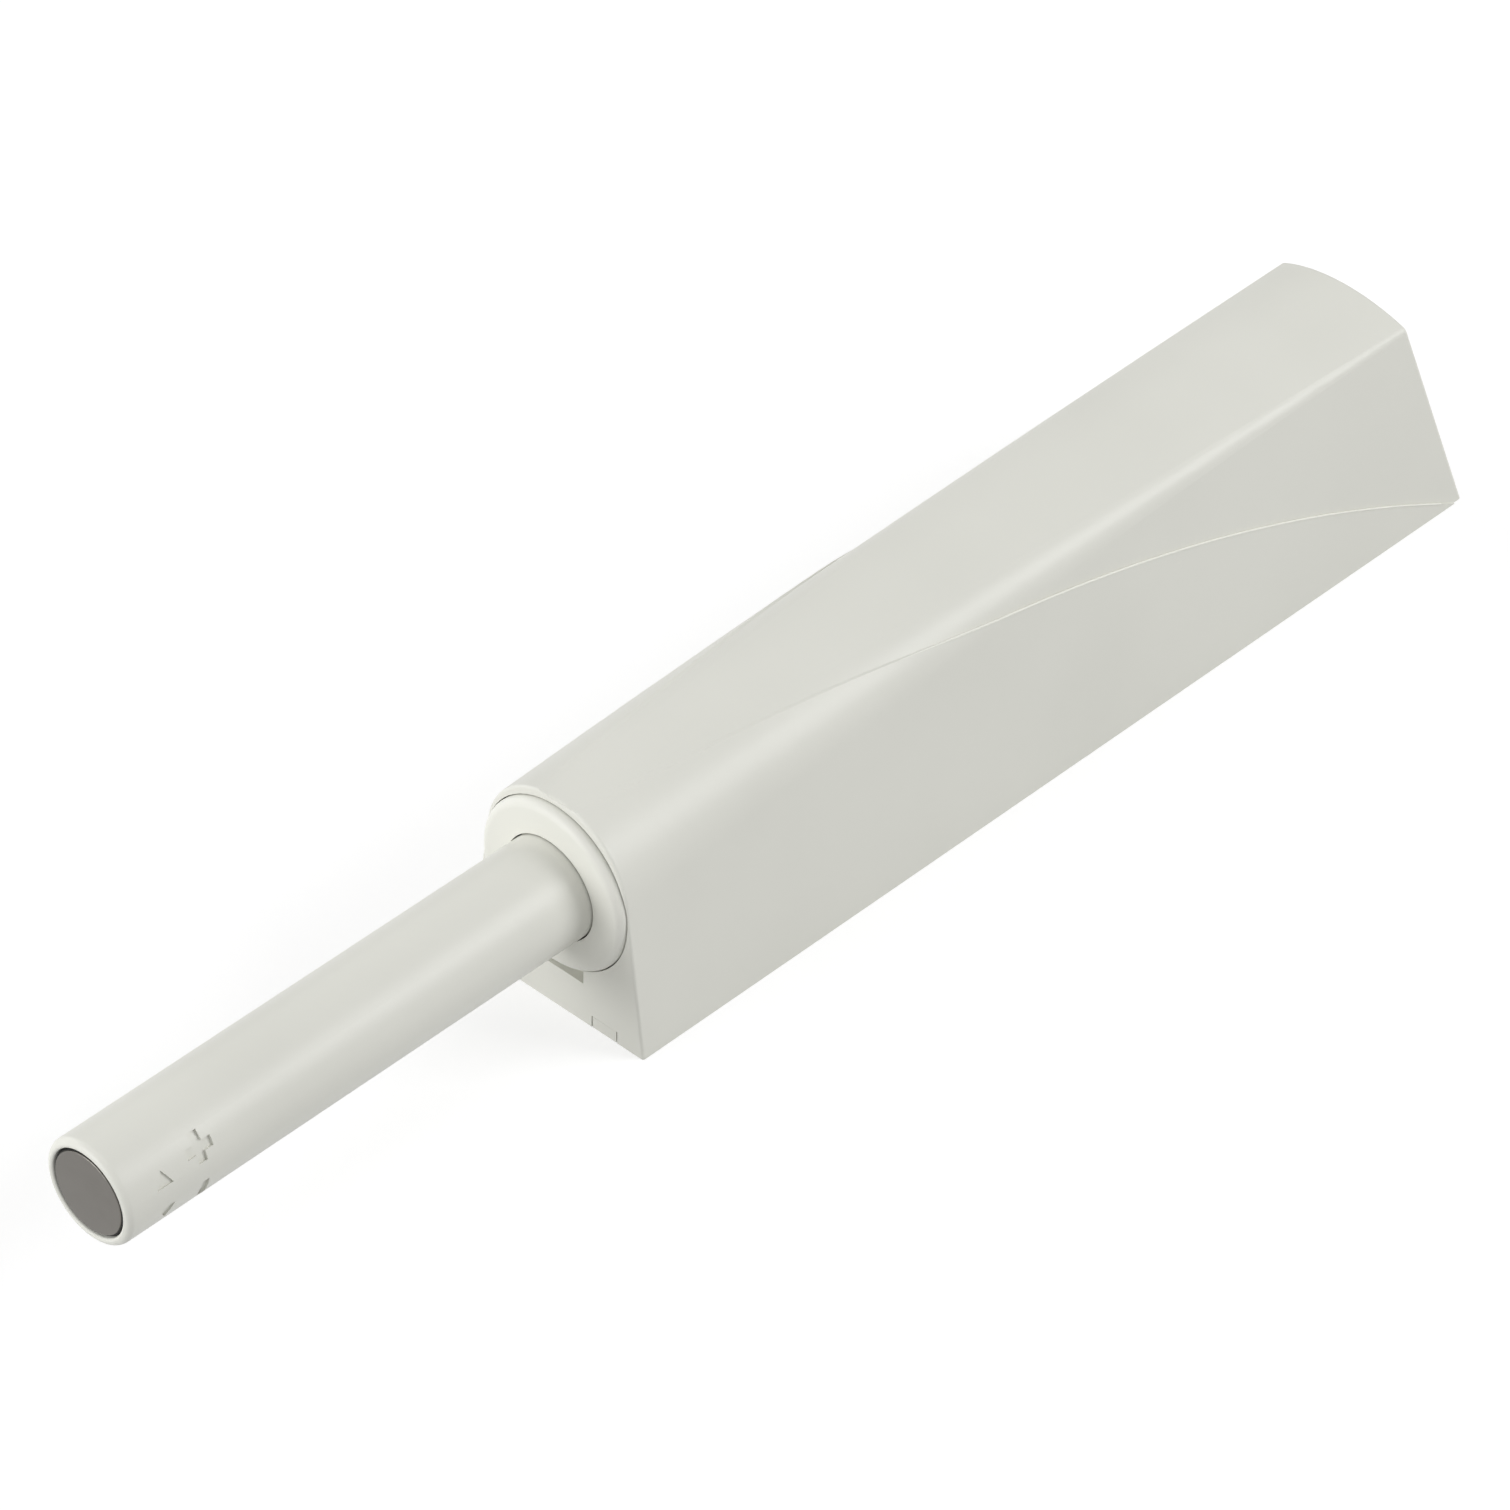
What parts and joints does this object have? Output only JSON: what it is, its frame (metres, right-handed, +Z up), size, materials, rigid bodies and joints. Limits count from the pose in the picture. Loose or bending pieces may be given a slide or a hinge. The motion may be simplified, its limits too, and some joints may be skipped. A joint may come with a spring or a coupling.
{
  "type": "push to open catch",
  "caption": "Push to open catch: a sprung plunger with a magnet tip slides in a slim screw-on housing; turning the plunger sets how far it stands out",
  "frame": {"origin": "centre of the housing's base, on the face that rests on the cabinet", "axes": "+Z up from the base, +Y to the rear, so the plunger comes out towards -Y"},
  "size_m": [0.0166, 0.1276, 0.0183],
  "materials": {
    "housing_plastic": "satin moulded off-white",
    "barrel_plastic": "satin moulded off-white",
    "plunger_plastic": "satin moulded off-white",
    "plate_plastic": "satin moulded off-white",
    "inner_plastic": "natural acetal",
    "spring_steel": "drawn spring wire",
    "magnet_nickel": "satin nickel plating",
    "plate_steel": "zinc-plated steel"
  },
  "bodies": {
    "casing": {"housing": "housing_plastic", "mounting_plate": "plate_plastic", "barrel": "barrel_plastic", "end_cap": "inner_plastic", "leaf_spring": "spring_steel", "return_spring": "spring_steel"},
    "plunger": {"plunger_core": "inner_plastic"},
    "tip": {"magnet": "magnet_nickel", "pole_plate": "plate_steel"},
    "sleeve": {"plunger_sleeve": "plunger_plastic"},
    "guide": {"guide_wire": "spring_steel"}
  },
  "joints": [
    {"name": "plunger_slide", "type": "slide", "parent": "casing", "child": "plunger", "axis": [0, 1, 0], "range_m": [0, 0.037], "stiffness_N_per_m": 100, "springref_m": -0.001, "deforming": ["return_spring"]},
    {"name": "tip_advance", "type": "slide", "parent": "plunger", "child": "tip", "axis": [0, -1, 0], "range_m": [-0.002, 0.002]},
    {"name": "sleeve_turn", "type": "hinge", "parent": "tip", "child": "sleeve", "pos_m": [0, -0.06275, 0.01065], "axis": [0, -1, 0], "range_deg": [-360, 360]},
    {"name": "guide_wire_swing", "type": "hinge", "parent": "casing", "child": "guide", "pos_m": [0, 0.03265, 0.0123], "axis": [0, 0, 1], "range_deg": [0, 3]}
  ],
  "couplings": [
    {"joint": "sleeve_turn", "follows": "tip_advance", "rad_per_m": 3141.5}
  ]
}
